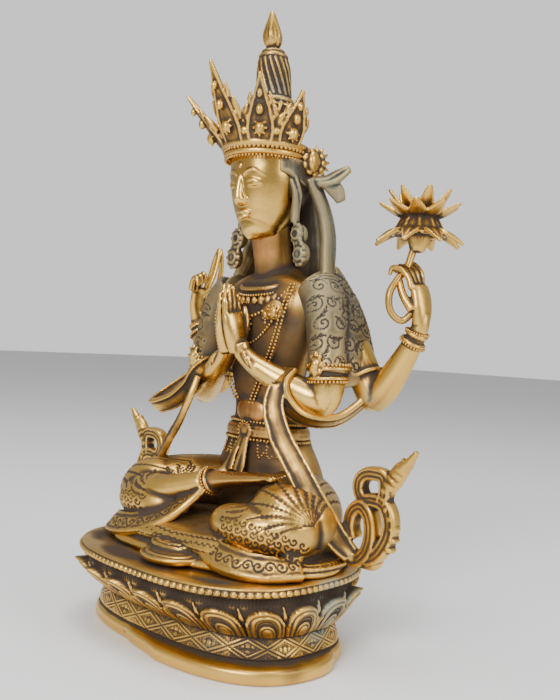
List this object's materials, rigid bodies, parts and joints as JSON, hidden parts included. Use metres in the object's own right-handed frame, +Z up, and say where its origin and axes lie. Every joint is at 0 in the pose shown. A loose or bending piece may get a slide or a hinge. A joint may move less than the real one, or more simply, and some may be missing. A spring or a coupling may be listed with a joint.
{
  "type": "seated deity statue",
  "caption": "Seated four-armed brass deity with joined palms, tall crown, scarves and a lotus, on an oval lotus pedestal",
  "frame": {"origin": "centre of the pedestal's underside, on the surface it stands on", "axes": "+Z up, the statue faces -Y, its left side is +X"},
  "size_m": [0.2474, 0.1529, 0.3695],
  "materials": {
    "pedestal_brass": "aged, dark in the recesses",
    "figure_brass": "aged, polished on the high spots"
  },
  "bodies": {
    "root": {"lotus_pedestal": "pedestal_brass", "figure": "figure_brass"}
  },
  "joints": []
}
